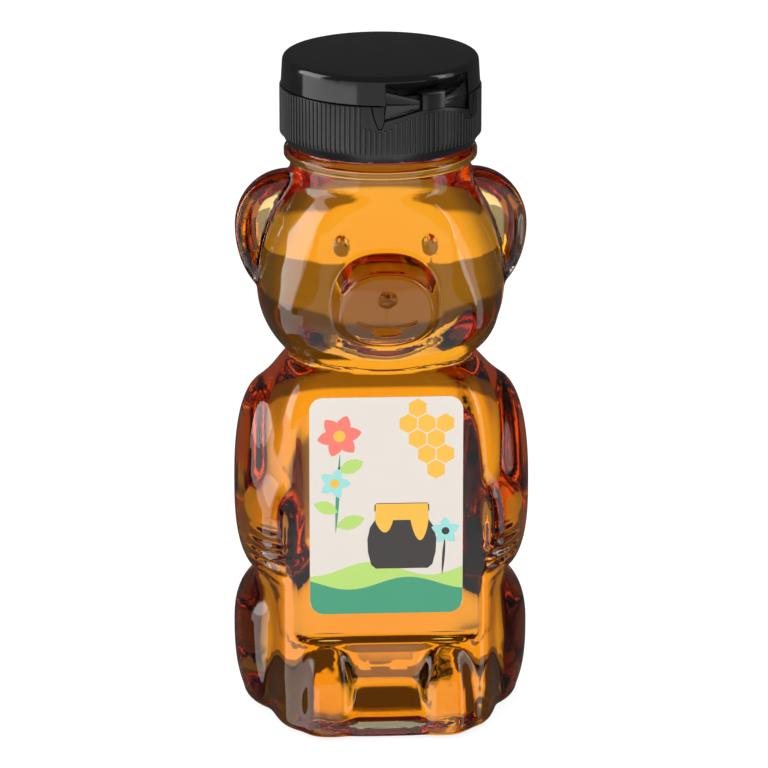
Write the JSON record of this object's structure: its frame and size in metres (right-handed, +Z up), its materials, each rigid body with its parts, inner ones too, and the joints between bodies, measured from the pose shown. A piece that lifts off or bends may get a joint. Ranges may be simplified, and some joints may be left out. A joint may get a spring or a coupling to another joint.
{
  "type": "honey bear bottle",
  "caption": "Clear bear-shaped squeeze bottle of honey with a flat label panel and a black ribbed screw closure with a flip lid.",
  "frame": {"origin": "on the table under the middle of the neck", "axes": "+Z up, the bear looks along -Y, +X to the viewer's right"},
  "size_m": [0.0616, 0.0572, 0.1393],
  "materials": {
    "clear_plastic": "gloss",
    "honey": "gloss",
    "label_paper": "satin",
    "foil": "satin",
    "foam": "matte",
    "black_satin": "satin",
    "black_gloss": "gloss"
  },
  "bodies": {
    "bottle": {"bottle": "clear_plastic", "honey": "honey", "front_label": "label_paper", "foil_seal": "foil"},
    "ring": {"sealing_ring": "foam"},
    "closure": {"closure_base": "black_satin", "hinge_strap": "black_satin", "hinge_wing_left": "black_satin", "hinge_wing_right": "black_satin"},
    "lid": {"flip_lid": "black_gloss"}
  },
  "joints": [
    {"name": "closure_lift", "type": "slide", "parent": "bottle", "child": "ring", "axis": [0, 0, 1], "range_m": [0, 0.0052]},
    {"name": "closure_turn", "type": "hinge", "parent": "ring", "child": "closure", "pos_m": [0, 0, 0.127], "axis": [0, 0, 1], "range_deg": [0, 432]},
    {"name": "lid_flip", "type": "hinge", "parent": "closure", "child": "lid", "pos_m": [0.00996, -0.01797, 0.1334], "axis": [0.8746, 0.4848, 0], "range_deg": [0, 165], "deforming": ["hinge_strap", "hinge_wing_left", "hinge_wing_right"]}
  ],
  "couplings": [
    {"joint": "closure_lift", "follows": "closure_turn", "m_per_rad": 0.00067323}
  ]
}
